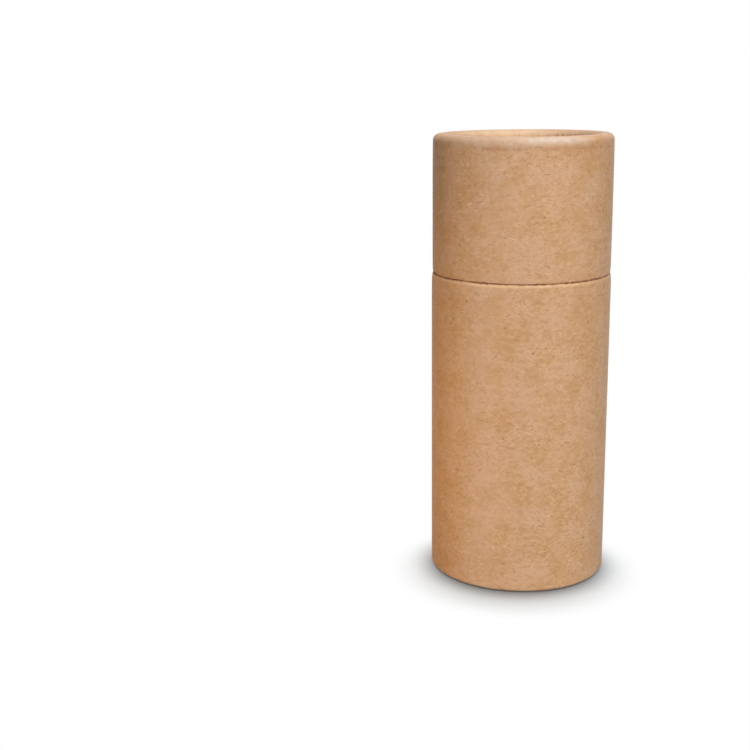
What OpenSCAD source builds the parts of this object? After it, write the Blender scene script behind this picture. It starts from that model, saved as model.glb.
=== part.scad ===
// Round paper tube gift box: a kraft body, a white neck liner glued inside it,
// and a kraft cap that slips over the neck and rests on the body's cut edge.
// Each kraft tube is wound board, curled inward at its closed end onto a flat disc.
// Z is the axis of the tubes, and the box stands on the plane Z = 0.

/* [Body] */
// Outside diameter of the body tube
tube_od = 52; // [40:1:80]
// Height of the body tube, from its curled foot to its cut edge
body_h = 89.5; // [60:0.5:160]
// Wall thickness of the body tube
body_wall = 1.5; // [1:0.1:2.5]

/* [Neck liner] */
// Height of the neck above the body's cut edge
neck_h = 20; // [10:1:28]
// Wall thickness of the liner
liner_wall = 1.1; // [0.7:0.1:2]
// Depth of the lip that is curled into the mouth
lip_depth = 5; // [4:0.5:9]

/* [Cap] */
// Height of the cap tube, from its cut edge to its curled rim
cap_h = 39.5; // [32:0.5:70]
// Wall thickness of the cap tube
cap_wall = 1.3; // [0.8:0.1:2.5]

/* [Closed ends] */
// Depth of a disc's outer face inside its curled rim
recess = 5.2; // [4.5:0.1:9]
// Thickness of a disc
disc_t = 1.5; // [1:0.1:3]

/* [Curled edges] */
// Width of the hollow inside a curl, between the wall and the turned-in tail
curl_gap = 2.3; // [1.6:0.1:4]
// Width of the flat crown between the two bends of a rim's or lip's curl
curl_crown = 1.3; // [0.1:0.1:1.5]
// Outside rounding of the foot's curl, which is pressed flat to stand on
foot_round = 1; // [0.5:0.1:2]
// Rounding of the corners of a cut edge
cut_ease = 0.2; // [0.1:0.05:0.35]

/* [Fits] */
// Radial glue line between the liner and the body
glue_gap = 0.2; // [0.05:0.05:0.5]
// Radial slip gap between the neck and the cap
slip_gap = 0.2; // [0.1:0.05:0.5]
// Radial gap between the edge of a disc and its tube
disc_gap = 0.1; // [0.05:0.05:0.3]

/* [Hidden] */
$fn = 128;
kraft = "#c89b6c";
kraft_disc = "#c19667";
white = "#f1f1f6";

body_r = tube_od / 2;
bore_r = body_r - body_wall;
neck_r = bore_r - glue_gap;
cap_bore_r = neck_r + slip_gap;
cap_r = cap_bore_r + cap_wall;

base_top = recess + disc_t;
neck_top = body_h + neck_h;
cap_top = body_h + cap_h;

// Radius of a bend round the hollow of a curl, and outside radius of the bends in that wall
hollow_r = (curl_gap - curl_crown) / 2;
function curl_r(wall) = hollow_r + wall;

// Upright slab in half section, w wide and h tall, with its two top corners rounded.
module slab(w, h, corner_r) {
    square([w, h - corner_r]);
    translate([corner_r, 0])
        square([w - 2 * corner_r, h]);
    for (x = [corner_r, w - corner_r])
        translate([x, h - corner_r])
            circle(corner_r);
}

// Half section of the curl at the top of a wall: up, over and down again, on the inner side,
// to a tail whose end lies at the given depth below the rim. The rim is on Y = 0.
module curl_section(outer_r, wall, depth, edge_r) {
    width = 2 * wall + curl_gap;
    difference() {
        translate([outer_r - width, -depth])
            slab(width, depth, edge_r);
        translate([outer_r - wall - curl_gap, -depth - wall])
            slab(curl_gap, depth, hollow_r);
    }
}

// Wound board tube that hangs below Z = 0, curled inward at its rim and cut off square at its other end.
module curled_tube(outer_r, wall, length, tail, edge_r) {
    rotate_extrude() {
        curl_section(outer_r, wall, tail, edge_r);
        translate([outer_r - wall, -edge_r])
            mirror([0, 1])
                slab(wall, length - edge_r, cut_ease);
    }
}

// The body tube, curled in at its foot to carry the base disc.
module body_tube() {
    color(kraft)
        mirror([0, 0, 1])
            curled_tube(body_r, body_wall, body_h, recess, foot_round);
}

// The disc that closes the body. It lies on the tail of the foot's curl, under the liner.
module base_disc() {
    color(kraft_disc)
        translate([0, 0, recess])
            cylinder(r = bore_r - disc_gap, h = disc_t);
}

// The white liner. It stands on the base disc and rises out of the body as the neck.
module neck_liner() {
    color(white)
        translate([0, 0, neck_top])
            curled_tube(neck_r, liner_wall, neck_top - base_top, lip_depth, curl_r(liner_wall));
}

// The cap tube, curled in at its rim, with its cut edge on the body's cut edge.
module cap_tube() {
    color(kraft)
        translate([0, 0, cap_top])
            curled_tube(cap_r, cap_wall, cap_h, recess, curl_r(cap_wall));
}

// The disc that closes the cap, under the tail of the rim's curl.
module cap_disc() {
    color(kraft_disc)
        translate([0, 0, cap_top - recess - disc_t])
            cylinder(r = cap_bore_r - disc_gap, h = disc_t);
}

body_tube();
base_disc();
neck_liner();
cap_tube();
cap_disc();
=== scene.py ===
"""Looks of a round paper tube gift box: kraft body and cap with curled edges, and a white inner neck."""

import math

import bpy
import numpy as np
from mathutils import Matrix, Vector


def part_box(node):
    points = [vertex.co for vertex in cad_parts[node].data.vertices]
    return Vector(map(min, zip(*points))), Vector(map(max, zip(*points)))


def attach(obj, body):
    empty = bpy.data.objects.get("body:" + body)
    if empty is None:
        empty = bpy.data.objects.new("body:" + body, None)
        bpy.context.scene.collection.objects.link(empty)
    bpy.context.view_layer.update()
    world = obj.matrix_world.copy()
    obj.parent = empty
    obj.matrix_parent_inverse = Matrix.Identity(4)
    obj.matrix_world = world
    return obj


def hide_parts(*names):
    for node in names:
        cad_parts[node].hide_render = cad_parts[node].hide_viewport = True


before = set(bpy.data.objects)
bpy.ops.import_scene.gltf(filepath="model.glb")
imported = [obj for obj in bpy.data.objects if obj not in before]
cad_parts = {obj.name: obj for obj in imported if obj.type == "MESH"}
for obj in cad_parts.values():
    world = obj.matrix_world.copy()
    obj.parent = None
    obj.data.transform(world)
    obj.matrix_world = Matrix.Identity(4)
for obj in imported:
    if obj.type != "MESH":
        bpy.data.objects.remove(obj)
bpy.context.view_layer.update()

MM = 0.001
WHITE = (1, 1, 1, 1)


# Sizes from the frame, in metres

def round_size(node):
    """Outer radius, lowest and highest point of a round CAD node."""
    low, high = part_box(node)
    return high.x, low.z, high.z


BODY_R, BODY_FOOT, BODY_TOP = round_size("body_tube")
NECK_R, LINER_FOOT, NECK_TOP = round_size("neck_liner")
CAP_R, CAP_EDGE, CAP_TOP = round_size("cap_tube")
BASE_R, BASE_LOW, BASE_HIGH = round_size("base_disc")
LID_R, LID_LOW, LID_HIGH = round_size("cap_disc")

# Board sizes that the frame's boxes don't give
DISC_GAP = 0.1 * MM
LINER_WALL = 1.1 * MM
LIP_DEPTH = 5 * MM
CURL_GAP = 2.3 * MM
CURL_CROWN = 1.3 * MM
FOOT_ROUND = 1.0 * MM
CUT_EASE = 0.2 * MM

BODY_WALL = BODY_R - BASE_R - DISC_GAP
CAP_WALL = CAP_R - LID_R - DISC_GAP
HOLLOW_R = (CURL_GAP - CURL_CROWN) / 2

# Mesh density
SEGMENTS = 720
ARC_STEPS = 12
EASE_STEPS = 4
EDGE_STEPS = 10
WALL_STEPS = 24
CURL_STEPS = 8
BORE_STEPS = 12
CUT_STEPS = 4


# Section curves, as rows of (radius, height)

# Length of the finer stretches of a wall, at its cut edge and next to its curl
EDGE_STRETCH = 2.4 * MM
# Width of the kraft wrap's own edge on a cut end
WRAP_EDGE = 0.5 * MM
# Points closer than this are one point
SAME_POINT = 1e-9


def line(start, end, steps):
    """Points from start to end, both included."""
    return np.linspace(start, end, steps + 1)


def arc(centre, radius, start, end, steps):
    """Points on a circle from start to end degrees, both included."""
    angle = np.radians(np.linspace(start, end, steps + 1))
    return np.stack([centre[0] + radius * np.cos(angle), centre[1] + radius * np.sin(angle)], 1)


def curled_section(outer_r, wall, length, tail, edge_r):
    """Closed section of a tube below height 0, curled in at its rim, as (zone, points) stretches.

    The skin is the outer wall and the bore is the inner one. The shoulder and the roll are the outer and
    the inner half of the curl, which ends in the tail.
    """
    width = 2 * wall + CURL_GAP
    inner_r = outer_r - width
    bore_r = outer_r - wall
    tail_r = inner_r + wall
    hollow_top = -wall - HOLLOW_R
    ease = CUT_EASE
    low = -length
    return [
        ("corner", arc((outer_r - ease, low + ease), ease, 270, 360, EASE_STEPS)),
        ("skin", line((outer_r, low + ease), (outer_r, low + EDGE_STRETCH), EDGE_STEPS)),
        ("skin", line((outer_r, low + EDGE_STRETCH), (outer_r, -edge_r - EDGE_STRETCH), WALL_STEPS)),
        ("skin", line((outer_r, -edge_r - EDGE_STRETCH), (outer_r, -edge_r), CURL_STEPS)),
        ("shoulder", arc((outer_r - edge_r, -edge_r), edge_r, 0, 90, ARC_STEPS)),
        ("roll", arc((inner_r + edge_r, -edge_r), edge_r, 90, 180, ARC_STEPS)),
        ("tail", line((inner_r, -edge_r), (inner_r, ease - tail), CURL_STEPS)),
        ("tail", arc((inner_r + ease, ease - tail), ease, 180, 270, EASE_STEPS)),
        ("hidden", line((inner_r + ease, -tail), (tail_r, -tail), 1)),
        ("hidden", line((tail_r, -tail), (tail_r, hollow_top), 2)),
        ("hidden", arc((tail_r + HOLLOW_R, hollow_top), HOLLOW_R, 180, 90, EASE_STEPS)),
        ("hidden", arc((bore_r - HOLLOW_R, hollow_top), HOLLOW_R, 90, 0, EASE_STEPS)),
        ("bore", line((bore_r, hollow_top), (bore_r, low + ease), BORE_STEPS)),
        ("cut", arc((bore_r + ease, low + ease), ease, 180, 270, EASE_STEPS)),
        ("cut", line((bore_r + ease, low), (outer_r - ease - WRAP_EDGE, low), CUT_STEPS)),
        ("corner", line((outer_r - ease - WRAP_EDGE, low), (outer_r - ease, low), 2)),
    ]


def joined(stretches):
    """Points of a section with no repeats, the zone after each point, and the run along the section."""
    points = [stretches[0][1][0]]
    zones = []
    for zone, stretch in stretches:
        for point in stretch[1:]:
            if np.hypot(*(point - points[-1])) < SAME_POINT:
                continue
            points.append(point)
            zones.append(zone)
    points = np.array(points)
    run = np.concatenate([[0], np.cumsum(np.hypot(*np.diff(points, axis=0).T))])
    return points, zones, run


# Shares and waves that shape the irregular forms

def smooth_step(value, low, high):
    """0 below low, 1 above high, smooth between."""
    share = np.clip((value - low) / (high - low), 0, 1)
    return share * share * (3 - 2 * share)


def between(span, share):
    """The value that lies a share of the way along a span."""
    return span[0] + (span[1] - span[0]) * share


def lifted(share, lowest):
    """A share from 0 to 1, raised to run from lowest to 1."""
    return lowest + (1 - lowest) * share


def bell(away, width):
    """1 at no distance away, and close to 0 from twice the width."""
    return np.exp(-((away / width) ** 2))


def lobe(angle, centre, power):
    """1 at the centre angle and 0 on the far side. A higher power makes it narrower."""
    return (0.5 + 0.5 * np.cos(angle - centre)) ** power


def turn_from(angle, centre):
    """Angle from a centre, within half a turn either way."""
    return (angle - centre + math.pi) % math.tau - math.pi


def ripple(angle, rng, waves):
    """Smooth uneven wave round the axis, from 0 to 1. waves is the least and the most waves to a turn."""
    wave = np.zeros_like(angle)
    for count in range(waves[0], waves[1] + 1):
        wave += rng.normal() / math.sqrt(count) * np.cos(count * angle + rng.uniform(0, math.tau))
    return (wave - wave.min()) / np.ptp(wave)


# The curl is pressed tightest round one angle, and the painted shade deep in the curl is strongest there.
# The span is of the cosine of the turn from it
TIGHT_ANGLE = math.radians(42)
TIGHT_SPAN = (0.80, 0.985)


def tightness(angle, lowest):
    """How tight the curl is pressed at an angle: 1 round TIGHT_ANGLE, falling to lowest away from it."""
    return lifted(smooth_step(np.cos(angle - TIGHT_ANGLE), *TIGHT_SPAN), lowest)


# Crimp pleats of a curled tail
PLEATS = 84
PLEAT_STRAY = 0.38
PLEAT_DEPTH = 0.18 * MM
PLEAT_SHARE = (0.35, 1.0)
PLEAT_WIDTH = (0.14 * MM, 0.34 * MM)
PLEAT_START = (0.4 * MM, 2.0 * MM)
PLEAT_START_TIGHT = (1.3, 0.7)
PLEAT_RUN = 1.4 * MM
PLEAT_EVEN = 0.5


def pleat_valleys(angle, below_crown, radius, rng):
    """Depth of the crimp pleats, 0 on a ridge and up to 1 in a valley, with a row for each below_crown."""
    valley = np.zeros((len(below_crown), len(angle)))
    for k in range(PLEATS):
        place = (k + rng.uniform(-PLEAT_STRAY, PLEAT_STRAY)) * math.tau / PLEATS
        width = rng.uniform(*PLEAT_WIDTH) / radius
        tight = tightness(place, PLEAT_EVEN)
        depth = rng.uniform(*PLEAT_SHARE) * tight
        start = rng.uniform(*PLEAT_START) * between(PLEAT_START_TIGHT, tight)
        across = depth * bell(turn_from(angle, place), width)
        along = smooth_step(below_crown, start, start + PLEAT_RUN)
        valley = np.maximum(valley, np.outer(along, across))
    return valley


# Tubes

# The lap of the kraft wrap runs down the back
LAP_ANGLE = math.radians(118)
# Pieces are cut from random places of a sheet with sides this long
SHEET_SIDE = 0.5

# Winding: how far a wall is out of round, and how far a rim is drawn in below its curl
OUT_OF_ROUND = 0.10 * MM
OUT_OF_ROUND_WAVES = (2, 7)
DRAWN_IN = 0.13 * MM
DRAWN_IN_RUN = 5.0 * MM

# The cut edge: rolled in, nicked, and pressed shut in front
BODY_EDGE_ROLL = 0.40 * MM
CAP_EDGE_ROLL = 0.15 * MM
EDGE_ROLL_RUN = 0.9 * MM
EDGE_WAVE = 0.8 * MM
EDGE_EVEN = 0.1
EDGE_CLOSED = 0.65
NICK_WAVES = (9, 160)
NICK_PATCH_WAVES = (1, 5)

# Painted shade along the cut edge, for the dark seam between the tubes. EDGE_RAG is its height in shares
# of the edge's rounding
SEAM_SHADE_REACH = 0.2 * MM
SEAM_SHADE_REACH_POWER = 3
EDGE_RAG = (0.1, 1.9)
EDGE_RAG_WAVES = (30, 200)
EDGE_SHADE_EVEN = 0.1
EDGE_SHADE_SPAN = (0.2, 0.7)
EDGE_SHADE_WAVES = (6, 90)
EDGE_SHADE_FADE = 0.5

# Painted highlight just past the corner of the cut edge, where its rolled top catches the light, strongest
# in front
EDGE_HIGHLIGHT = 0.85
EDGE_HIGHLIGHT_SIDES = 0.4
EDGE_HIGHLIGHT_PLACE = 0.5 * MM
EDGE_HIGHLIGHT_WIDTH = 0.4 * MM

# Faint dint in the skin below the shoulder of a shaped rim, with painted shade in it, strongest in front
SHOULDER_DEPTH = 0.05 * MM
SHOULDER_DROP = 1.3 * MM
SHOULDER_WIDTH = 0.7 * MM
SHOULDER_SHADE = 0.95
SHOULDER_ANGLE = math.radians(-88)
SHOULDER_LOBE = 8
SHOULDER_WAVES = (2, 14)

# Painted shade towards the end of the tail, deep in the curl, with a painted shadow line at the end itself
TAIL_SHADE = 0.40
TAIL_SHADE_SPAN = (0.5, 0.95)
TAIL_EVEN = 0.1
TAIL_SHADOW_LINE = (0.25 * MM, 1.0 * MM)
TAIL_SHADOW_LINE_WAVES = (20, 120)
TAIL_SHADOW_LINE_FADE = 0.5

# The front of the box, where the cut edge is pressed shut and the painted highlights are strongest. The
# span is of the cosine of the turn from it
FRONT_ANGLE = math.radians(-97)
FRONT_SPAN = (0.45, 0.95)

# Painted sheen: a paler strip down a tube, as the angle of its middle and its share
BODY_SHEEN_STRIP = (math.radians(-115), 0.18)
CAP_SHEEN_STRIP = (math.radians(-107), 0.12)
NO_SHEEN_STRIP = (0.0, 0.0)
SHEEN_STRIP_WIDTH = math.radians(13)

# Painted highlight on the outside of the rim, partly pale wear: a ragged pale band, with a paler spot
# where the highlight is brightest and a longer stretch
RIM_HIGHLIGHT = 0.34
RIM_HIGHLIGHT_END = (1.2 * MM, 2.9 * MM)
RIM_HIGHLIGHT_EVEN = 0.22
RIM_HIGHLIGHT_RAGGED = 0.55
RIM_HIGHLIGHT_RAGGED_WAVES = (5, 60)
RIM_HIGHLIGHT_SEED = 2
RIM_HIGHLIGHT_SPOT = 0.55
RIM_HIGHLIGHT_SPOT_DROP = 1.0 * MM
RIM_HIGHLIGHT_SPOT_ANGLE = math.radians(-66)
RIM_HIGHLIGHT_SPOT_LOBE = 18
RIM_HIGHLIGHT_LONG = 0.45
RIM_HIGHLIGHT_LONG_ANGLE = math.radians(-106)
RIM_HIGHLIGHT_LONG_LOBE = 16

# Painted light on the crown and the inside of the rim, partly pale wear: less at the sides and where the
# curl is tight
RIM_LIGHT_INSIDE = 0.95
RIM_LIGHT_INSIDE_END = (2.8 * MM, 5.2 * MM)
RIM_LIGHT_WARM = 0.7
RIM_LIGHT_CROWN = 0.55
RIM_LIGHT_RISE = 1.2 * MM
RIM_LIGHT_OVER = 1.8 * MM
RIM_LIGHT_TIGHT = 0.35
RIM_LIGHT_SIDES = 0.7

# Material of each zone of a tube, by its place in the list of materials. The other zones have the first
ZONE_MATERIALS = {"cut": 1, "hidden": 1, "bore": 2}


class CurledTube:
    """A curled section swept round the axis, with a ring for each point of the section, its wear, and its
    painted shade, highlights and sheen.
    """

    def __init__(self, stretches, seed):
        points, self.zones, self.run = joined(stretches)
        self.points = points[:-1]
        self.rng = np.random.default_rng(seed)
        self.highlight_rng = np.random.default_rng(seed + RIM_HIGHLIGHT_SEED)
        self.angle = LAP_ANGLE + np.arange(SEGMENTS) * math.tau / SEGMENTS
        self.tight = tightness(self.angle, TAIL_EVEN)
        self.in_front = smooth_step(np.cos(self.angle - FRONT_ANGLE), *FRONT_SPAN)
        self.above_cut = self.points[:, 1] - self.points[:, 1].min()
        self.below_crown = self.points[:, 1].max() - self.points[:, 1]
        self.outside = self.zone("corner", "skin", "shoulder")
        self.inside = self.zone("roll", "tail")
        self.radius = np.repeat(self.points[:, :1], SEGMENTS, 1)
        self.height = np.repeat(self.points[:, 1:], SEGMENTS, 1)
        self.crease_shade = np.zeros_like(self.radius)
        self.pale_light_and_wear = np.zeros_like(self.radius)
        self.warm_light_and_wear = np.zeros_like(self.radius)

    def zone(self, *names):
        """Which points of the section lie in the named zones."""
        return np.isin(self.zones, names)

    def darken(self, crease_shade):
        """Adds painted shade and the darker colour of pressed creases, where a stronger one hides a
        fainter one.
        """
        self.crease_shade = np.maximum(self.crease_shade, crease_shade)

    def press_out_of_round(self):
        self.radius[self.outside] -= OUT_OF_ROUND * ripple(self.angle, self.rng, OUT_OF_ROUND_WAVES)

    def draw_in_rim(self):
        level = self.points[self.outside, 1]
        self.radius[self.outside] -= DRAWN_IN * np.exp((level - level.max()) / DRAWN_IN_RUN)[:, None]

    def cut_edge(self, edge_roll):
        """Rolls the cut edge inward and nicks its outer half, less in front, where it is pressed shut."""
        near = np.exp(-self.above_cut / EDGE_ROLL_RUN)
        rolled = np.where(self.zone("corner", "skin"), near, 0)
        self.radius -= edge_roll * rolled[:, None]
        outer_r = self.points[:, 0].max()
        middle_r = (self.points[self.zone("bore")][:, 0].min() + outer_r) / 2
        outward = np.clip((self.points[:, 0] - middle_r) / (outer_r - middle_r), 0, 1)
        ragged = np.where(self.zone("cut", "corner", "skin"), outward * near, 0)
        nicks = ripple(self.angle, self.rng, NICK_WAVES) ** 2
        patches = ripple(self.angle, self.rng, NICK_PATCH_WAVES)
        wave = lifted(nicks * patches, EDGE_EVEN) * (1 - EDGE_CLOSED * self.in_front)
        self.height += EDGE_WAVE * np.outer(ragged, wave)

    def dint_shoulder(self, rim_shaped_and_lit):
        """Dints the tube below its shoulder in patches and paints shade in the dint, only for a shaped and
        lit rim. The draw is made for every tube.
        """
        patches = ripple(self.angle, self.rng, SHOULDER_WAVES) ** 2
        if not rim_shaped_and_lit:
            return
        middle = self.points[self.zone("shoulder")][0, 1] - SHOULDER_DROP
        along = np.where(self.zone("skin"), bell(self.points[:, 1] - middle, SHOULDER_WIDTH), 0)
        dint = np.outer(along, patches * lobe(self.angle, SHOULDER_ANGLE, SHOULDER_LOBE))
        self.radius -= SHOULDER_DEPTH * dint
        # Painted shade in the dint below the shoulder
        self.darken(SHOULDER_SHADE * dint)

    def pleat_tail(self):
        """Crimps the curled tail, paints shade and crease colour in its pleat valleys, and paints more
        shade towards its end where the curl is tight.
        """
        depth = np.where(self.inside, self.below_crown, 0)
        in_tail = self.zone("tail")
        valley = pleat_valleys(self.angle, depth, self.points[in_tail][:, 0].min(), self.rng)
        self.radius += PLEAT_DEPTH * valley
        # Painted shade and crease colour in the pleat valleys
        self.darken(valley)
        end = depth.max()
        # Painted shade deep in the curl, and a painted shadow line at the tail's end
        self.darken(TAIL_SHADE * np.outer(smooth_step(depth / end, *TAIL_SHADE_SPAN), self.tight))
        width = between(TAIL_SHADOW_LINE, ripple(self.angle, self.rng, TAIL_SHADOW_LINE_WAVES))
        end_shadow = smooth_step(depth[:, None], end - width, end - TAIL_SHADOW_LINE_FADE * width)
        self.darken(np.where(in_tail[:, None], end_shadow * self.tight, 0))

    def paint_edge_highlight(self, share):
        # Painted highlight along the top of the cut edge, weaker at the sides
        past_corner = np.where(self.zone("skin"), bell(self.above_cut - EDGE_HIGHLIGHT_PLACE, EDGE_HIGHLIGHT_WIDTH), 0)
        self.warm_light_and_wear += share * np.outer(past_corner, lifted(self.in_front, EDGE_HIGHLIGHT_SIDES))

    def paint_sheen_strip(self, middle, share):
        # Painted sheen down the outside of the tube
        self.pale_light_and_wear[self.outside] = share * bell(turn_from(self.angle, middle), SHEEN_STRIP_WIDTH)

    def paint_rim_light(self):
        """Paints the rim's highlight and light, partly pale wear: a ragged band outside, most in front,
        and one over the crown and inside.
        """
        below = self.below_crown
        reach = 1 + RIM_HIGHLIGHT_LONG * lobe(self.angle, RIM_HIGHLIGHT_LONG_ANGLE, RIM_HIGHLIGHT_LONG_LOBE)
        reach += RIM_HIGHLIGHT_RAGGED * (ripple(self.angle, self.highlight_rng, RIM_HIGHLIGHT_RAGGED_WAVES) - 0.5)
        band = 1 - smooth_step(below[:, None] / reach, *RIM_HIGHLIGHT_END)
        facing = lobe(self.angle, RIM_HIGHLIGHT_SPOT_ANGLE, RIM_HIGHLIGHT_SPOT_LOBE)
        spot = np.outer(bell(below - RIM_HIGHLIGHT_SPOT_DROP, RIM_HIGHLIGHT_SPOT_DROP), facing)
        outer = band * lifted(self.in_front, RIM_HIGHLIGHT_EVEN) * (RIM_HIGHLIGHT + RIM_HIGHLIGHT_SPOT * spot)

        kept = (1 - RIM_LIGHT_TIGHT * self.tight) * (1 - RIM_LIGHT_SIDES * np.cos(self.angle) ** 2)
        rise = lifted(smooth_step(below, 0, RIM_LIGHT_RISE), RIM_LIGHT_CROWN)
        inner = RIM_LIGHT_INSIDE * np.outer(rise * (1 - smooth_step(below, *RIM_LIGHT_INSIDE_END)), kept)
        before_crown = self.run[np.flatnonzero(self.zone("roll"))[0]] - self.run[:-1]
        over = RIM_LIGHT_INSIDE * RIM_LIGHT_CROWN * np.outer(1 - smooth_step(before_crown, 0, RIM_LIGHT_OVER), kept)

        pale = np.maximum(np.maximum(self.pale_light_and_wear, outer), over)
        warm = self.warm_light_and_wear + RIM_LIGHT_WARM * over * (1 - self.in_front)
        self.pale_light_and_wear[self.outside] = pale[self.outside]
        self.warm_light_and_wear[self.outside] = warm[self.outside]
        self.pale_light_and_wear[self.inside] = inner[self.inside]
        self.warm_light_and_wear[self.inside] = RIM_LIGHT_WARM * inner[self.inside]

    def paint_seam_shade(self, share, seam_shade_reach):
        """Paints shade along the cut edge, for the dark seam between the tubes, in uneven lengths."""
        rag = ripple(self.angle, self.rng, EDGE_RAG_WAVES)
        shaded_height = CUT_EASE * between(EDGE_RAG, rag) + seam_shade_reach * rag ** SEAM_SHADE_REACH_POWER
        patches = smooth_step(ripple(self.angle, self.rng, EDGE_SHADE_WAVES), *EDGE_SHADE_SPAN)
        under = smooth_step(shaded_height - self.above_cut[:, None], 0, EDGE_SHADE_FADE * CUT_EASE)
        shade = share * lifted(patches, EDGE_SHADE_EVEN) * under
        # Painted seam shade on the corner and the skin next to the cut
        self.darken(np.where(self.zone("corner", "skin")[:, None], shade, 0))

    def mesh(self, name, rim_height, upside_down, sheet_corner):
        """Closed mesh with its rim at a height. Its UV map is the place on the paper sheet, in metres."""
        rings = len(self.points)
        i = np.repeat(np.arange(rings), SEGMENTS)
        j = np.tile(np.arange(SEGMENTS), rings)
        here = i * SEGMENTS
        after = (i + 1) % rings * SEGMENTS
        j_next = (j + 1) % SEGMENTS
        faces = np.stack([here + j, here + j_next, after + j_next, after + j], 1)
        level = rim_height - self.height if upside_down else rim_height + self.height
        co = np.stack([self.radius * np.cos(self.angle), self.radius * np.sin(self.angle), level], 2)
        mesh = bpy.data.meshes.new(name)
        mesh.from_pydata(co.reshape(-1, 3), [], faces.tolist())

        around = self.points[:, 0].max() * math.tau / SEGMENTS
        u = np.stack([j, j + 1, j + 1, j], 1) * around + sheet_corner[0]
        v = np.stack([self.run[i], self.run[i], self.run[i + 1], self.run[i + 1]], 1) + sheet_corner[1]
        layer = mesh.uv_layers.new(name="Wrap")
        layer.uv.foreach_set("vector", np.stack([u, v], 2).astype(np.float32).ravel())
        slots = np.array([ZONE_MATERIALS.get(zone, 0) for zone in self.zones], np.int32)
        mesh.polygons.foreach_set("material_index", slots[i])
        mesh.shade_smooth()
        if upside_down:
            mesh.flip_normals()
        point_values(mesh, "crease_shade", self.crease_shade)
        point_values(mesh, "pale_light_and_wear", self.pale_light_and_wear)
        point_values(mesh, "warm_light_and_wear", self.warm_light_and_wear)
        return mesh


def point_values(mesh, name, values):
    """Stores one number per vertex, which the materials read by name."""
    attribute = mesh.attributes.new(name, "FLOAT", "POINT")
    attribute.data.foreach_set("value", np.asarray(values, np.float32).ravel())


def placed(mesh, materials):
    """Scene object of a mesh with its materials."""
    for material in materials:
        mesh.materials.append(material)
    piece = bpy.data.objects.new(mesh.name, mesh)
    bpy.context.scene.collection.objects.link(piece)
    return piece


def curled_tube(name, stretches, rim_height, upside_down, seed, materials, edge_roll=0.0,
                edge_shade=0.0, seam_shade_reach=0.0, edge_highlight=0.0, rim_shaped_and_lit=False, sheen_strip=NO_SHEEN_STRIP):
    """Tube with a pleated curl, slightly out of round, with a hand-cut wavy edge, its wear, and painted
    shade, highlights and sheen.
    """
    tube = CurledTube(stretches, seed)
    tube.press_out_of_round()
    # A shaped rim is drawn in, dinted with painted shade and given a painted highlight and light
    if rim_shaped_and_lit:
        tube.draw_in_rim()
    tube.cut_edge(edge_roll)
    tube.dint_shoulder(rim_shaped_and_lit)
    tube.pleat_tail()
    tube.paint_edge_highlight(edge_highlight)
    tube.paint_sheen_strip(*sheen_strip)
    if rim_shaped_and_lit:
        tube.paint_rim_light()
    sheet_corner = tube.rng.uniform(0, SHEET_SIDE, 2)
    tube.paint_seam_shade(edge_shade, seam_shade_reach)
    return placed(tube.mesh(name, rim_height, upside_down, sheet_corner), materials)


# Discs

DISC_SEGMENTS = SEGMENTS // 3
DISC_RINGS = 16
DISC_EASE = 0.25 * MM
DISC_SWAY = 0.06 * MM
DISC_SWAY_WAVES = (1, 4)


def disc(name, radius, low, high, seed, materials):
    """Board disc with eased edges, unevenly pressed a little thinner towards its rim."""
    rng = np.random.default_rng(seed)
    eased_r = radius - DISC_EASE
    points = np.concatenate([
        line((radius / DISC_RINGS, low), (eased_r, low), DISC_RINGS - 1),
        arc((eased_r, low + DISC_EASE), DISC_EASE, -90, 0, EASE_STEPS)[1:],
        arc((eased_r, high - DISC_EASE), DISC_EASE, 0, 90, EASE_STEPS),
        line((eased_r, high), (radius / DISC_RINGS, high), DISC_RINGS - 1)[1:],
    ])
    angle = np.arange(DISC_SEGMENTS) * math.tau / DISC_SEGMENTS
    r = np.repeat(points[:, :1], DISC_SEGMENTS, 1)
    z = np.repeat(points[:, 1:], DISC_SEGMENTS, 1)
    inward = np.where(z > (low + high) / 2, -1, 1)
    z += inward * DISC_SWAY * ripple(angle, rng, DISC_SWAY_WAVES) * (r / radius) ** 2
    rings = np.stack([r * np.cos(angle), r * np.sin(angle), z], 2).reshape(-1, 3)
    co = np.concatenate([rings, [[0, 0, low], [0, 0, high]]])

    i = np.repeat(np.arange(len(points) - 1), DISC_SEGMENTS) * DISC_SEGMENTS
    j = np.tile(np.arange(DISC_SEGMENTS), len(points) - 1)
    j_next = (j + 1) % DISC_SEGMENTS
    i_next = i + DISC_SEGMENTS
    faces = np.stack([i + j, i + j_next, i_next + j_next, i_next + j], 1).tolist()
    bottom_pole = len(rings)
    top_pole = bottom_pole + 1
    last = bottom_pole - DISC_SEGMENTS
    for k in range(DISC_SEGMENTS):
        k_next = (k + 1) % DISC_SEGMENTS
        faces.append([k_next, k, bottom_pole])
        faces.append([last + k, last + k_next, top_pole])

    mesh = bpy.data.meshes.new(name)
    mesh.from_pydata(co, [], faces)
    layer = mesh.uv_layers.new(name="Wrap")
    corner = np.zeros(len(mesh.loops), np.int32)
    mesh.loops.foreach_get("vertex_index", corner)
    layer.uv.foreach_set("vector", co[corner][:, :2].astype(np.float32).ravel())
    mesh.shade_smooth()
    for stored_value in ("crease_shade", "pale_light_and_wear", "warm_light_and_wear"):
        point_values(mesh, stored_value, np.zeros(len(co)))
    return placed(mesh, materials)


# Materials

def colour(red, green, blue):
    """Linear RGBA of a colour given in 8-bit display values."""
    def linear(value):
        value /= 255
        return value / 12.92 if value <= 0.04045 else ((value + 0.055) / 1.055) ** 2.4
    return linear(red), linear(green), linear(blue), 1.0


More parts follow.
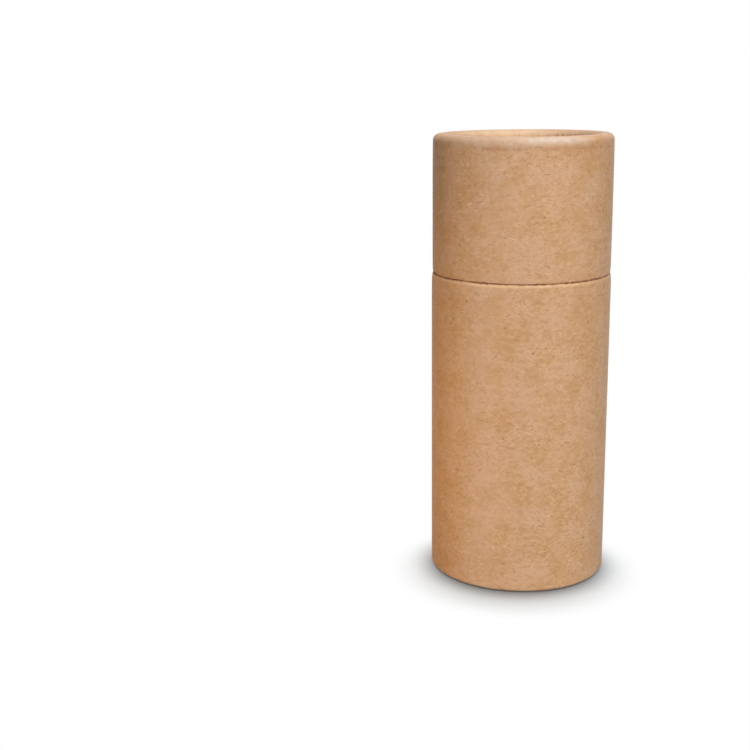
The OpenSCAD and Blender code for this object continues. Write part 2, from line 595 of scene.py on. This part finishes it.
class Graph:
    """Short names for building the nodes of one material or world."""

    def __init__(self, owner):
        owner.use_nodes = True
        self.owner = owner
        self.tree = owner.node_tree
        self.tree.nodes.clear()

    def add(self, kind, inputs, output=0, **settings):
        """New node with its settings and inputs, each a value or a node's output. Returns one output."""
        node = self.tree.nodes.new("ShaderNode" + kind)
        for key, value in settings.items():
            setattr(node, key, value)
        for key, value in inputs.items():
            if isinstance(value, bpy.types.NodeSocket):
                self.tree.links.new(value, node.inputs[key])
            else:
                node.inputs[key].default_value = value
        return node.outputs[output]

    def math(self, operation, a, b=0.0, c=0.0):
        return self.add("Math", {0: a, 1: b, 2: c}, operation=operation)

    def total(self, *terms):
        result = terms[0]
        for term in terms[1:]:
            result = self.math("ADD", result, term)
        return result

    def product(self, *factors):
        result = factors[0]
        for factor in factors[1:]:
            result = self.math("MULTIPLY", result, factor)
        return result

    def centred(self, value):
        """A value from 0 to 1, moved to lie either side of 0."""
        return self.math("SUBTRACT", value, 0.5)

    def inverted(self, value):
        return self.math("SUBTRACT", 1.0, value)

    def vector(self, operation, a, b=(0, 0, 0), c=(0, 0, 0)):
        return self.add("VectorMath", {0: a, 1: b, 2: c}, operation=operation)

    def mix(self, share, a, b):
        return self.add("Mix", {0: share, 6: a, 7: b}, 2, data_type="RGBA")

    def step(self, value, low, high):
        """0 below low, 1 above high, smooth between."""
        return self.add("MapRange", {0: value, 1: low, 2: high}, interpolation_type="SMOOTHSTEP")

    def remap(self, value, source, target):
        """A value moved from one span to another, and kept within it."""
        return self.add("MapRange", {0: value, 1: source[0], 2: source[1], 3: target[0], 4: target[1]})

    def noise(self, place, size, detail, roughness):
        """Noise from 0 to 1 with features of about that size, in the units of place."""
        inputs = {"Vector": place, "Scale": 1 / size, "Detail": detail, "Roughness": roughness}
        return self.add("TexNoise", inputs)

    def solid_place(self):
        """Place in the piece, in millimetres."""
        place = self.add("TexCoord", {}, "Object")
        return self.add("VectorMath", {0: place, "Scale": 1 / MM}, operation="SCALE")

    def sheet_place(self):
        """Place on the paper sheet, in millimetres."""
        place = self.add("UVMap", {}, uv_map="Wrap")
        return self.add("VectorMath", {0: place, "Scale": 1 / MM}, operation="SCALE")

    def parts(self, vector):
        """The three numbers of a vector."""
        return self.add("SeparateXYZ", {0: vector}).node.outputs

    def stored_value(self, name):
        """A number that the mesh stores per vertex."""
        return self.add("Attribute", {}, "Fac", attribute_name=name)

    def bump(self, strength, distance, height):
        return self.add("Bump", {"Strength": strength, "Distance": distance, "Height": height})

    def seen(self):
        """1 to the camera, to reflections and through clear things, and 0 to all other light."""
        path = self.add("LightPath", {}).node.outputs
        mirrored = self.math("MAXIMUM", path["Is Glossy Ray"], path["Is Transmission Ray"])
        return self.math("MAXIMUM", path["Is Camera Ray"], mirrored)

    def finish(self, shader, kind="Material"):
        """Makes the shader the surface, and returns the material or world."""
        output = self.tree.nodes.new("ShaderNodeOutput" + kind)
        self.tree.links.new(shader, output.inputs["Surface"])
        return self.owner

    def surface(self, inputs):
        return self.finish(self.add("BsdfPrincipled", inputs))


# Fibres lie within this angle of the direction round the tube
FIBRE_TURN = math.radians(64)
# How much a fibre may bend, and the shares of its width and length, from its middle, over which it fades
FIBRE_BEND = 0.5
FIBRE_SIDES = (0.2, 0.6)
FIBRE_ENDS = (0.3, 0.5)
# Sets of fibres are moved apart in this direction
FIBRE_SHIFT = (1, 0.37, 0)


def strokes(g, place, cell, length, width, shift, share):
    """Mask of short fibres, one to a cell, in a share of the cells. Sizes are in the units of place."""
    moved = g.vector("ADD", place, [shift * part for part in FIBRE_SHIFT])
    cells = g.add("TexVoronoi", {"Vector": moved, "Scale": 1 / cell}, "Position", voronoi_dimensions="2D")
    draw = g.add("SeparateColor", {0: cells.node.outputs["Color"]}).node.outputs
    away = g.vector("SUBTRACT", moved, cells)
    turn = g.product(g.centred(draw[0]), 2 * FIBRE_TURN)
    axis = g.parts(g.add("VectorRotate", {"Vector": away, "Angle": turn}, rotation_type="Z_AXIS"))
    bend = g.product(g.centred(draw[2]), FIBRE_BEND / cell)
    sag = g.product(bend, g.product(axis[0], axis[0]))
    across = g.math("ABSOLUTE", g.total(axis[1], sag))
    along = g.math("ABSOLUTE", axis[0])
    slim = g.inverted(g.step(across, width * FIBRE_SIDES[0], width * FIBRE_SIDES[1]))
    short = g.inverted(g.step(along, length * FIBRE_ENDS[0], length * FIBRE_ENDS[1]))
    kept = g.math("LESS_THAN", draw[1], share)
    return g.product(slim, short, kept)


def fibres(g, place, sets):
    """Mask of several sets of fibres."""
    return g.total(*[strokes(g, place, *one_set) for one_set in sets])


# Specks: their least share of the full size, how they fade out, and how uneven their outlines are
SPECK_LEAST = 0.3
SPECK_FADE = (0.5, 1.0)
SPECK_UNEVEN = 1.2
SPECK_NOISE = (0.3, 1.0, 0.5)


def dots(g, place, cell, size, share):
    """Mask of uneven specks, one to a cell, in a share of the cells. Sizes are in the units of place."""
    cells = g.add("TexVoronoi", {"Vector": place, "Scale": 1 / cell}, "Distance", voronoi_dimensions="2D")
    draw = g.add("SeparateColor", {0: cells.node.outputs["Color"]}).node.outputs
    full = size / cell
    away = g.total(cells, g.product(g.centred(g.noise(place, *SPECK_NOISE)), SPECK_UNEVEN * full))
    reach = g.math("MULTIPLY_ADD", draw[2], (1 - SPECK_LEAST) * full, SPECK_LEAST * full)
    kept = g.math("LESS_THAN", draw[1], share)
    return g.product(g.inverted(g.step(g.math("DIVIDE", away, reach), *SPECK_FADE)), kept)


# Kraft colours, in display values
KRAFT_TAN = colour(212, 168, 133)
KRAFT_OCHRE = colour(204, 157, 113)
KRAFT_DARK_FLECK = colour(182, 130, 74)
KRAFT_LIGHT_FLECK = colour(223, 184, 142)
KRAFT_DARK_FIBRE = colour(160, 106, 54)
KRAFT_LIGHT_FIBRE = colour(230, 193, 148)
KRAFT_BOLD_DARK = colour(126, 80, 40)
KRAFT_BOLD_LIGHT = colour(238, 208, 166)
KRAFT_SPECK = colour(100, 64, 38)
# Painted shade in the seam, in the dint below the shoulder and deep in the curl, also the darker colour of
# pressed pleats
KRAFT_CREASE_SHADE = colour(146, 76, 18)
# Painted highlights, sheen and light, partly pale wear
KRAFT_PALE_LIGHT_AND_WEAR = colour(228, 209, 192)
KRAFT_WARM_LIGHT_AND_WEAR = colour(243, 205, 160)

# Kraft noises, as size in millimetres, detail and roughness
CLOUD = (7.0, 3.0, 0.55)
PATCH = (2.4, 2.0, 0.5)
FELT = (11.0, 2.0, 0.5)
DARK_FLECK = (0.82, 3.0, 0.6)
PALE_FLECK = (0.78, 3.0, 0.6)
GRAIN = (0.5, 3.0, 0.6)
TOOTH = (0.16, 2.0, 0.6)
WEAR_AND_LIGHT = (2.2, 3.0, 0.6)

# Spans of those noises that show, from nothing to full
CLOUD_SPAN = (0.34, 0.66)
PATCH_SPAN = (0.45, 0.75)
FELT_SPAN = (0.35, 0.62)
DARK_FLECK_SPAN = (0.49, 0.72)
PALE_FLECK_SPAN = (0.51, 0.73)
WEAR_AND_LIGHT_SPAN = (0.3, 0.7)

# Kraft fibres, as cell, length and width in millimetres, shift, and share of the cells
DARK_FIBRES = [(2.0, 1.5, 0.27, 0.0, 0.45), (2.6, 2.1, 0.30, 17.3, 0.45), (3.2, 2.7, 0.33, 34.6, 0.45)]
LIGHT_FIBRES = [(1.8, 1.6, 0.28, 71.9, 0.45), (2.6, 2.4, 0.31, 85.0, 0.45), (3.4, 3.2, 0.34, 98.1, 0.45)]
BOLD_DARK_FIBRES = [(8.5, 2.2, 0.30, 131.7, 0.28)]
BOLD_LIGHT_FIBRES = [(9.5, 2.4, 0.30, 211.3, 0.26)]
# Kraft specks, as cell and size in millimetres, and share of the cells
SPECKS = (8.0, 0.36, 0.36)

# How strongly each part of the kraft shows
PATCH_SHARE = 0.26
DARK_FLECK_SHARE = 0.66
PALE_FLECK_SHARE = 0.62
DARK_FIBRE_SHARE = 0.25
LIGHT_FIBRE_SHARE = 0.42
BOLD_FIBRE_SHARE = 0.5
SPECK_SHARE = 0.6
CREASE_SHADE_SHARE = 0.85
FELT_SHARE = (0.45, 1.0)
WEAR_AND_LIGHT_SHARE = (0.5, 1.25)
KRAFT_LEVEL = 0.95
GRAIN_LEVEL = 0.11
TOOTH_LEVEL = 0.05

# Fibres waver, with this many waves to a millimetre and this reach in millimetres
WAVER_SCALE = 0.35
WAVER_REACH = (0.7, 0.7, 0)
# Flecks and patches are drawn out round the tube, and pale flecks lie apart from dark ones
FLECK_STRETCH = (0.72, 1, 1)
PATCH_STRETCH = (1, 1, 1.6)
PALE_FLECK_SHIFT = (37, 91, 5)

# Relief and sheen of the kraft
KRAFT_BUMP = 0.28
FIBRE_RELIEF = 0.5
TOOTH_RELIEF = 0.6
PAPER_RELIEF = 0.05 * MM
KRAFT_ROUGH = (0.56, 0.2)


def kraft(name, tint=1.0):
    """Uncoated kraft paper: soft mottling, fine fibres, sparse specks, creases and wear, with the painted
    shade, highlights and sheen that the mesh stores.
    """
    g = Graph(bpy.data.materials.new(name))
    sheet = g.sheet_place()
    solid = g.solid_place()
    waver_inputs = {"Vector": sheet, "Scale": WAVER_SCALE, "Detail": 1.0}
    waver = g.add("TexNoise", waver_inputs, "Color", noise_dimensions="2D")
    offset = g.vector("ADD", waver, (-0.5, -0.5, -0.5))
    bent = g.vector("MULTIPLY_ADD", offset, WAVER_REACH, sheet)
    drawn_out = g.vector("MULTIPLY", bent, FLECK_STRETCH)

    cloud = g.noise(solid, *CLOUD)
    patches = g.noise(g.vector("MULTIPLY", solid, PATCH_STRETCH), *PATCH)
    dark_flecks = g.noise(drawn_out, *DARK_FLECK)
    pale_flecks = g.noise(g.vector("ADD", drawn_out, PALE_FLECK_SHIFT), *PALE_FLECK)
    grain = g.noise(solid, *GRAIN)
    tooth = g.noise(solid, *TOOTH)
    felted = g.remap(g.noise(solid, *FELT), FELT_SPAN, FELT_SHARE)
    light_fibres = fibres(g, bent, LIGHT_FIBRES)

    tone = g.mix(g.step(cloud, *CLOUD_SPAN), KRAFT_OCHRE, KRAFT_TAN)
    layers = [
        (g.product(g.step(patches, *PATCH_SPAN), PATCH_SHARE), KRAFT_DARK_FLECK),
        (g.product(g.step(dark_flecks, *DARK_FLECK_SPAN), felted, DARK_FLECK_SHARE), KRAFT_DARK_FLECK),
        (g.product(g.step(pale_flecks, *PALE_FLECK_SPAN), PALE_FLECK_SHARE), KRAFT_LIGHT_FLECK),
        (g.product(fibres(g, bent, DARK_FIBRES), felted, DARK_FIBRE_SHARE), KRAFT_DARK_FIBRE),
        (g.product(light_fibres, felted, LIGHT_FIBRE_SHARE), KRAFT_LIGHT_FIBRE),
        (g.product(fibres(g, bent, BOLD_LIGHT_FIBRES), BOLD_FIBRE_SHARE), KRAFT_BOLD_LIGHT),
        (g.product(fibres(g, bent, BOLD_DARK_FIBRES), BOLD_FIBRE_SHARE), KRAFT_BOLD_DARK),
        (g.product(dots(g, sheet, *SPECKS), SPECK_SHARE), KRAFT_SPECK),
    ]
    for share, layer_colour in layers:
        tone = g.mix(share, tone, layer_colour)
    uneven = g.total(g.product(grain, GRAIN_LEVEL), g.product(tooth, TOOTH_LEVEL))
    level = g.product(g.total(uneven, KRAFT_LEVEL), tint)
    tone = g.add("HueSaturation", {"Color": tone, "Value": level})

    # Painted highlights, sheen and light on the rim and the cut edge, partly pale wear, in patches
    wear_and_light_patches = g.remap(g.noise(solid, *WEAR_AND_LIGHT), WEAR_AND_LIGHT_SPAN, WEAR_AND_LIGHT_SHARE)
    tone = g.mix(g.product(g.stored_value("pale_light_and_wear"), wear_and_light_patches), tone, KRAFT_PALE_LIGHT_AND_WEAR)
    tone = g.mix(g.product(g.stored_value("warm_light_and_wear"), wear_and_light_patches), tone, KRAFT_WARM_LIGHT_AND_WEAR)
    # Painted shade and crease colour that the mesh stores
    tone = g.mix(g.product(g.stored_value("crease_shade"), CREASE_SHADE_SHARE), tone, KRAFT_CREASE_SHADE)

    relief = g.total(g.product(light_fibres, FIBRE_RELIEF), g.total(grain, g.product(tooth, TOOTH_RELIEF)))
    return g.surface({
        "Base Color": tone,
        "Roughness": g.total(KRAFT_ROUGH[0], g.product(grain, KRAFT_ROUGH[1])),
        "Specular IOR Level": 0.12,
        "Sheen Weight": 0.17,
        "Sheen Roughness": 0.4,
        "Normal": g.bump(KRAFT_BUMP, PAPER_RELIEF, relief),
    })


# Raw board at a cut edge: noise as for kraft, and plies in millimetres
BOARD_DARK = colour(80, 63, 48)
BOARD_LIGHT = colour(146, 122, 98)
BOARD_FRAY = (0.35, 3.0, 0.7)
BOARD_PLY = 0.32
BOARD_PLY_SWAY = 4.0
BOARD_FRAY_SHARE = 0.75
BOARD_PLY_SHARE = 0.12
BOARD_SPAN = (0.2, 0.65)
BOARD_BUMP = 0.6
BOARD_RELIEF = 0.06 * MM


def greyboard(name):
    """Raw recycled board at a cut edge: grey brown, with thin plies and loose fibres."""
    g = Graph(bpy.data.materials.new(name))
    solid = g.solid_place()
    axis = g.parts(solid)
    reach = g.math("SQRT", g.total(g.product(axis[0], axis[0]), g.product(axis[1], axis[1])))
    fray = g.noise(solid, *BOARD_FRAY)
    turn = g.total(g.product(reach, math.tau / BOARD_PLY), g.product(fray, BOARD_PLY_SWAY))
    tone = g.total(g.product(fray, BOARD_FRAY_SHARE), g.product(g.math("SINE", turn), BOARD_PLY_SHARE))
    return g.surface({
        "Base Color": g.mix(g.step(tone, *BOARD_SPAN), BOARD_DARK, BOARD_LIGHT),
        "Roughness": 0.9,
        "Specular IOR Level": 0.2,
        "Normal": g.bump(BOARD_BUMP, BOARD_RELIEF, tone),
    })


# Brown board inside a tube
INNER_DARK = colour(158, 128, 98)
INNER_LIGHT = colour(178, 149, 118)
INNER_CLOUD = (5.0, 3.0, 0.6)
INNER_CLOUD_SPAN = (0.35, 0.65)
INNER_GRAIN = (0.6, 3.0, 0.7)
INNER_LEVEL = (0.85, 0.3)
INNER_BUMP = 0.4


def inner_board(name):
    """The brown board inside a tube, plainer than its kraft face."""
    g = Graph(bpy.data.materials.new(name))
    solid = g.solid_place()
    grain = g.noise(solid, *INNER_GRAIN)
    tone = g.mix(g.step(g.noise(solid, *INNER_CLOUD), *INNER_CLOUD_SPAN), INNER_DARK, INNER_LIGHT)
    level = g.total(INNER_LEVEL[0], g.product(grain, INNER_LEVEL[1]))
    return g.surface({
        "Base Color": g.add("HueSaturation", {"Color": tone, "Value": level}),
        "Roughness": 0.85,
        "Specular IOR Level": 0.25,
        "Normal": g.bump(INNER_BUMP, PAPER_RELIEF, grain),
    })


# White liner paper, wound in a spiral of plies. Lengths are in millimetres
LINER_SHADE = colour(232, 232, 243)
LINER_WHITE = colour(240, 240, 248)
LINER_LINE = colour(196, 196, 212)
LINER_CLOUD = (9.0, 2.0, 0.5)
LINER_CLOUD_SPAN = (0.3, 0.7)
LINER_TOOTH = (0.18, 2.0, 0.6)
LINER_SLOPE = 0.62
LINER_PLY = 23.5
LINER_LINE_SPAN = (0.05, 0.3)
LINER_TOOTH_RELIEF = 0.5
LINER_BUMP = 0.25
LINER_ROUGH = (0.46, 0.14)


def white_paper(name, lines):
    """Smooth white liner paper with a cool cast. lines is how strongly its spiral plies' edges show."""
    g = Graph(bpy.data.materials.new(name))
    solid = g.solid_place()
    axis = g.parts(g.sheet_place())
    tooth = g.noise(solid, *LINER_TOOTH)
    winding = g.math("PINGPONG", g.total(g.product(axis[0], LINER_SLOPE), axis[1]), LINER_PLY)
    ply_line = g.product(g.inverted(g.step(winding, *LINER_LINE_SPAN)), lines)
    tone = g.mix(g.step(g.noise(solid, *LINER_CLOUD), *LINER_CLOUD_SPAN), LINER_SHADE, LINER_WHITE)
    relief = g.math("SUBTRACT", g.product(tooth, LINER_TOOTH_RELIEF), ply_line)
    return g.surface({
        "Base Color": g.mix(ply_line, tone, LINER_LINE),
        "Roughness": g.total(LINER_ROUGH[0], g.product(tooth, LINER_ROUGH[1])),
        "Specular IOR Level": 0.5,
        "Normal": g.bump(LINER_BUMP, PAPER_RELIEF, relief),
    })


# The discs are a little darker than the tubes, and the liner's plies show mostly in its bore
DISC_TINT = 0.95
FACE_LINES = 0.12
BORE_LINES = 0.75

kraft_wall = kraft("kraft_wall")
kraft_board = kraft("kraft_board", DISC_TINT)
cut_edge = greyboard("cut_edge")
tube_inside = inner_board("tube_inside")
liner_face = white_paper("liner_face", FACE_LINES)
liner_bore = white_paper("liner_bore", BORE_LINES)

# The five pieces of the box, each with its own seed

BODY_SEED, LINER_SEED, CAP_SEED, BASE_SEED, LID_SEED = 11, 23, 37, 41, 43

body = curled_tube(
    "body_tube_paper",
    curled_section(BODY_R, BODY_WALL, BODY_TOP - BODY_FOOT, BASE_LOW - BODY_FOOT, FOOT_ROUND),
    BODY_FOOT, True, BODY_SEED, [kraft_wall, cut_edge, tube_inside],
    edge_roll=BODY_EDGE_ROLL, edge_shade=1.0, edge_highlight=EDGE_HIGHLIGHT, sheen_strip=BODY_SHEEN_STRIP)
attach(body, "box")
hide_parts("body_tube")

liner = curled_tube(
    "neck_liner_paper",
    curled_section(NECK_R, LINER_WALL, NECK_TOP - LINER_FOOT, LIP_DEPTH, HOLLOW_R + LINER_WALL),
    NECK_TOP, False, LINER_SEED, [liner_face, cut_edge, liner_bore])
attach(liner, "box")
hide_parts("neck_liner")

cap = curled_tube(
    "cap_tube_paper",
    curled_section(CAP_R, CAP_WALL, CAP_TOP - CAP_EDGE, CAP_TOP - LID_HIGH, HOLLOW_R + CAP_WALL),
    CAP_TOP, False, CAP_SEED, [kraft_wall, cut_edge, tube_inside],
    edge_roll=CAP_EDGE_ROLL, edge_shade=1.0, seam_shade_reach=SEAM_SHADE_REACH, rim_shaped_and_lit=True, sheen_strip=CAP_SHEEN_STRIP)
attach(cap, "cap")
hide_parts("cap_tube")

base = disc("base_disc_board", BASE_R, BASE_LOW, BASE_HIGH, BASE_SEED, [kraft_board])
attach(base, "box")
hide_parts("base_disc")

lid = disc("cap_disc_board", LID_R, LID_LOW, LID_HIGH, LID_SEED, [kraft_board])
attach(lid, "cap")
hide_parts("cap_disc")

# Stage: a plain pale floor that keeps the shadow, with a painted contact shadow round the box, and a white
# surround

FLOOR_HALF = 6.0
FLOOR_DROP = 0.03 * MM
FLOOR_BOUNCE = (0.18, 0.18, 0.18, 1)
# A cool floor colour offsets the warm light that the box throws on the floor
FLOOR_OPEN = (0.87, 0.95, 1.0, 1)
FLOOR_CONTACT_SHADOW = (0.23, 0.26, 0.29, 1)
CONTACT_REACH = 8 * MM
CONTACT_SPAN = (0.4, 1.0)
CONTACT_SAMPLES = 16
# The painted shadow's region lies a little in front of the box
SHADOW_CENTRE = Vector((0, -7, 0)) * MM
SHADOW_SPAN = (19 * MM, 39 * MM)
AMBIENT = 0.05


def floor_material():
    """Pale floor that keeps the lamps' shadow near the box, with a painted contact shadow from ambient
    occlusion, and farther out looks like the surround.
    """
    g = Graph(bpy.data.materials.new("floor"))
    bounce = g.add("BsdfDiffuse", {"Color": FLOOR_BOUNCE})
    openness = g.add("AmbientOcclusion", {"Distance": CONTACT_REACH}, "AO", samples=CONTACT_SAMPLES)
    contact_shadow = g.remap(openness, CONTACT_SPAN, (0, 1))
    # Painted contact shadow, darker where the box closes in over the floor
    near = g.add("BsdfDiffuse", {"Color": g.mix(contact_shadow, FLOOR_CONTACT_SHADOW, FLOOR_OPEN)})
    far = g.add("Emission", {"Color": WHITE, "Strength": 1.0})
    place = g.add("TexCoord", {}, "Object")
    reach = g.add("VectorMath", {0: place, 1: SHADOW_CENTRE}, "Value", operation="DISTANCE")
    shown = g.add("MixShader", {0: g.step(reach, *SHADOW_SPAN), 1: near, 2: far})
    return g.finish(g.add("MixShader", {0: g.seen(), 1: bounce, 2: shown}))


def white_surround():
    """White to the camera and to reflections, and a low even light on everything else."""
    g = Graph(bpy.data.worlds.new("surround"))
    level = g.remap(g.seen(), (0, 1), (AMBIENT, 1))
    return g.finish(g.add("Background", {"Color": WHITE, "Strength": level}), "World")


floor_signs = [(-1, -1), (1, -1), (1, 1), (-1, 1)]
floor_corners = [(x * FLOOR_HALF, y * FLOOR_HALF, -FLOOR_DROP) for x, y in floor_signs]
floor_mesh = bpy.data.meshes.new("floor")
floor_mesh.from_pydata(floor_corners, [], [(0, 1, 2, 3)])
floor = placed(floor_mesh, [floor_material()])
bpy.context.scene.world = white_surround()

# Lamps: a large soft key, a soft light from above, and small fills for the back and the lower sides

MIDDLE = Vector((0, 0, CAP_TOP / 2))
LOW_LEFT = Vector((-BODY_R, 0, 36 * MM))
LOW_RIGHT = Vector((BODY_R, 0, 36 * MM))
LOW_BACK = Vector((0, BODY_R, 50 * MM))


def softbox(name, place, size, watts, aim=MIDDLE, tint=(1, 1, 1), spread=180):
    """Square area lamp that faces a point of the box. A small spread, in degrees, narrows its light."""
    lamp = bpy.data.lights.new(name, "AREA")
    lamp.size = size
    lamp.energy = watts
    lamp.color = tint
    lamp.spread = math.radians(spread)
    lamp_object = bpy.data.objects.new(name, lamp)
    lamp_object.location = place
    lamp_object.rotation_euler = (aim - Vector(place)).to_track_quat("-Z", "Y").to_euler()
    bpy.context.scene.collection.objects.link(lamp_object)


softbox("key", place=(0.48, -1.49, 0.28), size=1.10, watts=29.7)
softbox("overhead", place=(0.03, 0.10, 1.12), size=0.50, watts=6.9)
softbox("back_fill", place=(0.06, 1.00, 0.05), size=0.10, watts=5.6, aim=LOW_BACK)
softbox("warm_fill", place=(-0.34, -0.05, 0.040), size=0.08, watts=0.0255, aim=LOW_LEFT,
        tint=(1.0, 0.58, 0.12), spread=42)
softbox("edge_fill", place=(0.45, -0.02, 0.04), size=0.10, watts=0.0034, aim=LOW_RIGHT,
        tint=(0.66, 0.90, 1.0), spread=25)

# Camera at the photograph's viewing angle, from a fit of the outline

IMAGE_SIDE = 750
SENSOR = 36.0
FOCAL_PIXELS = 1255.0
CLIP_START = 0.01
CAMERA_PLACE = Vector((0, -365.6, 145.5)) * MM
CAMERA_YAW = math.radians(-6.737)
CAMERA_PITCH = math.radians(13.455)
CAMERA_ROLL = math.radians(-0.626)


def photo_camera():
    """Camera turned by yaw, then tilted down by pitch, then rolled."""
    ahead = Vector((math.sin(CAMERA_YAW) * math.cos(CAMERA_PITCH),
                    math.cos(CAMERA_YAW) * math.cos(CAMERA_PITCH),
                    -math.sin(CAMERA_PITCH)))
    level_right = Vector((math.cos(CAMERA_YAW), -math.sin(CAMERA_YAW), 0))
    level_up = level_right.cross(ahead)
    right = math.cos(CAMERA_ROLL) * level_right + math.sin(CAMERA_ROLL) * level_up
    up = math.cos(CAMERA_ROLL) * level_up - math.sin(CAMERA_ROLL) * level_right
    data = bpy.data.cameras.new("photo_camera")
    data.sensor_width = SENSOR
    data.lens = SENSOR * FOCAL_PIXELS / IMAGE_SIDE
    data.clip_start = CLIP_START
    camera = bpy.data.objects.new("photo_camera", data)
    axes = Matrix((right, up, -ahead)).transposed().to_4x4()
    camera.matrix_world = Matrix.Translation(CAMERA_PLACE) @ axes
    bpy.context.scene.collection.objects.link(camera)
    return camera


bpy.context.scene.camera = photo_camera()
bpy.context.scene.view_settings.view_transform = "Standard"
